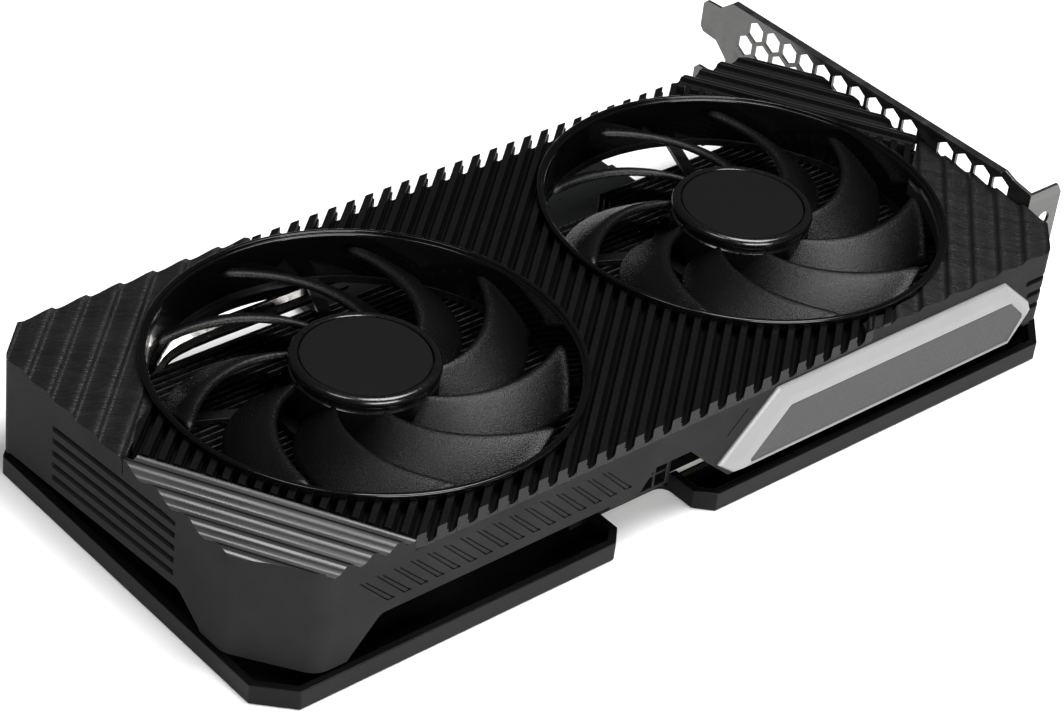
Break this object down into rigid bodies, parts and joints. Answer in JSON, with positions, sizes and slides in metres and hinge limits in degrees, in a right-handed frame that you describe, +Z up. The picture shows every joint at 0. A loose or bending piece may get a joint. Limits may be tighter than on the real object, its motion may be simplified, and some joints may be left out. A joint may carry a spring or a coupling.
{
  "type": "graphics card",
  "caption": "Desktop graphics card with a diagonally ribbed shroud around flush round fans, open-sided finned cooler, black backplate and vented steel I/O bracket.",
  "frame": {"origin": "centre of the card's bounding rectangle at its lowest face, the underside of the backplate", "axes": "+X along the card towards the I/O bracket, +Y across it towards the slot edge of the board, +Z up out of the fans"},
  "size_m": [0.2616, 0.1378, 0.0385],
  "materials": {
    "tray_black": "glossy black top, satin sides",
    "board_black": "black solder mask over glass-fibre board",
    "chip_black": "matt moulded package",
    "silicon": "polished silicon",
    "thermal_pad": "soft matt pad",
    "choke_grey": "grainy pressed powder",
    "connector_black": "moulded black",
    "connector_pale": "moulded off-white",
    "nickel": "nickel plate",
    "port_metal": "nickel-plated sheet",
    "fin_aluminium": "plain rolled sheet",
    "shroud_black": "satin moulded black",
    "cover_satin": "satin dark grey",
    "cover_brushed": "fine brushed black",
    "badge_silver": "satin silver",
    "badge_grey": "fine grey texture",
    "fan_black": "satin black",
    "frame_black": "moulded black",
    "label_black": "plain matt disc",
    "winding_copper": "copper colour",
    "ferrite": "pressed ferrite",
    "brass": "turned",
    "steel": "bright",
    "bracket_steel": "satin plated sheet",
    "cable_black": "sleeved"
  },
  "bodies": {
    "card": {"backplate": "tray_black", "pcb": "board_black", "gpu_package": "chip_black", "memory_chip_1": "chip_black", "memory_chip_2": "chip_black", "memory_chip_3": "chip_black", "memory_chip_4": "chip_black", "gpu_die": "silicon", "thermal_pad_left": "thermal_pad", "thermal_pad_right": "thermal_pad", "choke_1": "choke_grey", "choke_2": "choke_grey", "choke_3": "choke_grey", "choke_4": "choke_grey", "power_connector": "connector_black", "fan_plug_left": "connector_black", "fan_plug_right": "connector_black", "fan_header": "connector_pale", "cold_plate": "nickel", "heat_pipe_near": "nickel", "heat_pipe_middle": "nickel", "heat_pipe_far": "nickel", "video_port_1": "port_metal", "video_port_2": "port_metal", "video_port_3": "port_metal", "av_port": "port_metal", "fin_stack_left": "fin_aluminium", "fin_stack_right": "fin_aluminium", "shroud": "shroud_black", "cover_near_left": "cover_satin", "cover_far_right": "cover_satin", "cover_far_left": "cover_brushed", "cover_near_right": "cover_brushed", "badge_frame": "badge_silver", "badge_panel": "badge_grey", "motor_mount_left": "frame_black", "stator_left": "winding_copper", "bearing_left": "brass", "fan_cable_left": "cable_black", "motor_mount_right": "frame_black", "stator_right": "winding_copper", "bearing_right": "brass", "fan_cable_right": "cable_black", "io_bracket": "bracket_steel", "board_screw_1": "steel", "cooler_screw_1": "steel", "board_screw_2": "steel", "cooler_screw_2": "steel", "board_screw_3": "steel", "cooler_screw_3": "steel", "board_screw_4": "steel", "cooler_screw_4": "steel"},
    "fan_left": {"rotor_left": "fan_black", "hub_cap_left": "label_black", "magnet_ring_left": "ferrite", "shaft_left": "steel"},
    "fan_right": {"rotor_right": "fan_black", "hub_cap_right": "label_black", "magnet_ring_right": "ferrite", "shaft_right": "steel"}
  },
  "joints": [
    {"name": "fan_left_spin", "type": "hinge", "parent": "card", "child": "fan_left", "pos_m": [-0.0636, -0.0121, 0.028], "axis": [0, 0, 1], "continuous": true},
    {"name": "fan_right_spin", "type": "hinge", "parent": "card", "child": "fan_right", "pos_m": [0.05505, -0.0121, 0.028], "axis": [0, 0, 1], "continuous": true}
  ]
}
